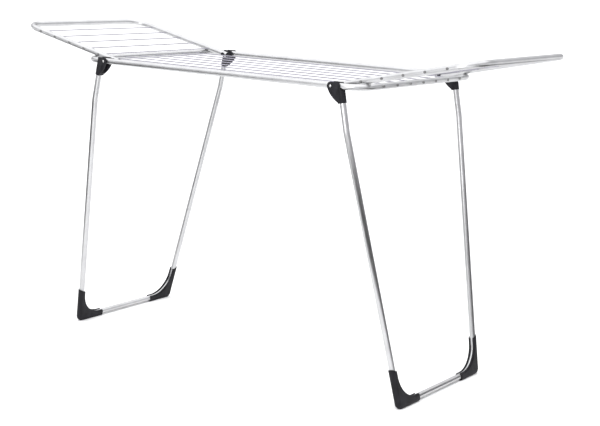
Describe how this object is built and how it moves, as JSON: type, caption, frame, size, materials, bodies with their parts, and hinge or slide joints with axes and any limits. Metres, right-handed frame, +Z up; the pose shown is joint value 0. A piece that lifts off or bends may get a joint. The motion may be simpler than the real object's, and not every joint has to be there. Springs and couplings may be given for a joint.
{
  "type": "folding clothes drying rack",
  "caption": "Free-standing winged clothes airer: round steel tube frame with rigid hanging wires, folding wings and folding splayed legs with dark plastic feet.",
  "frame": {"origin": "on the floor, under the middle of the rack", "axes": "+X along the rack towards one wing, +Y across it towards the back, +Z up"},
  "size_m": [1.8036, 0.6762, 1.0478],
  "materials": {
    "galvanised_tube": "satin silver coated round tube",
    "coated_wire": "smooth pale plastic coating on steel wire",
    "wire_cap": "satin grey button caps",
    "plain_steel": "bright plated steel",
    "dark_plastic": "fine-grained charcoal moulded plastic"
  },
  "bodies": {
    "top_frame": {"frame_tube_left": "galvanised_tube", "frame_tube_right": "galvanised_tube", "splice_sleeve_front": "plain_steel", "splice_sleeve_rear": "plain_steel", "splice_rivets": "plain_steel", "top_wire_1": "coated_wire", "top_wire_2": "coated_wire", "top_wire_3": "coated_wire", "top_wire_4": "coated_wire", "top_wire_5": "coated_wire", "top_wire_6": "coated_wire", "top_wire_7": "coated_wire", "frame_wire_caps_left": "wire_cap", "frame_wire_caps_right": "wire_cap", "pivot_pin_left_front": "plain_steel", "pivot_pin_left_rear": "plain_steel", "pivot_pin_right_front": "plain_steel", "pivot_pin_right_rear": "plain_steel", "pin_retainers": "dark_plastic"},
    "leg_left": {"leg_tube_left": "galvanised_tube", "leg_fitting_left_front": "dark_plastic", "leg_fitting_left_rear": "dark_plastic", "foot_left_front": "dark_plastic", "foot_left_rear": "dark_plastic"},
    "leg_right": {"leg_tube_right": "galvanised_tube", "leg_fitting_right_front": "dark_plastic", "leg_fitting_right_rear": "dark_plastic", "foot_right_front": "dark_plastic", "foot_right_rear": "dark_plastic"},
    "wing_left": {"wing_tube_left": "galvanised_tube", "wing_wire_left_1": "coated_wire", "wing_wire_left_2": "coated_wire", "wing_wire_left_3": "coated_wire", "wing_wire_left_4": "coated_wire", "wing_wire_left_5": "coated_wire", "wing_wire_caps_left": "wire_cap", "wing_end_plug_left_front": "dark_plastic", "wing_end_plug_left_rear": "dark_plastic"},
    "wing_right": {"wing_tube_right": "galvanised_tube", "wing_wire_right_1": "coated_wire", "wing_wire_right_2": "coated_wire", "wing_wire_right_3": "coated_wire", "wing_wire_right_4": "coated_wire", "wing_wire_right_5": "coated_wire", "wing_wire_caps_right": "wire_cap", "wing_end_plug_right_front": "dark_plastic", "wing_end_plug_right_rear": "dark_plastic"}
  },
  "joints": [
    {"name": "leg_left_fold", "type": "hinge", "parent": "top_frame", "child": "leg_left", "pos_m": [-0.456, 0, 0.946], "axis": [0, -1, 0], "range_deg": [0, 102]},
    {"name": "leg_right_fold", "type": "hinge", "parent": "top_frame", "child": "leg_right", "pos_m": [0.456, 0, 0.946], "axis": [0, 1, 0], "range_deg": [0, 99.2]},
    {"name": "wing_left_fold", "type": "hinge", "parent": "top_frame", "child": "wing_left", "pos_m": [-0.456, 0, 0.946], "axis": [0, 1, 0], "range_deg": [0, 163]},
    {"name": "wing_right_fold", "type": "hinge", "parent": "top_frame", "child": "wing_right", "pos_m": [0.456, 0, 0.946], "axis": [0, -1, 0], "range_deg": [0, 163]}
  ]
}
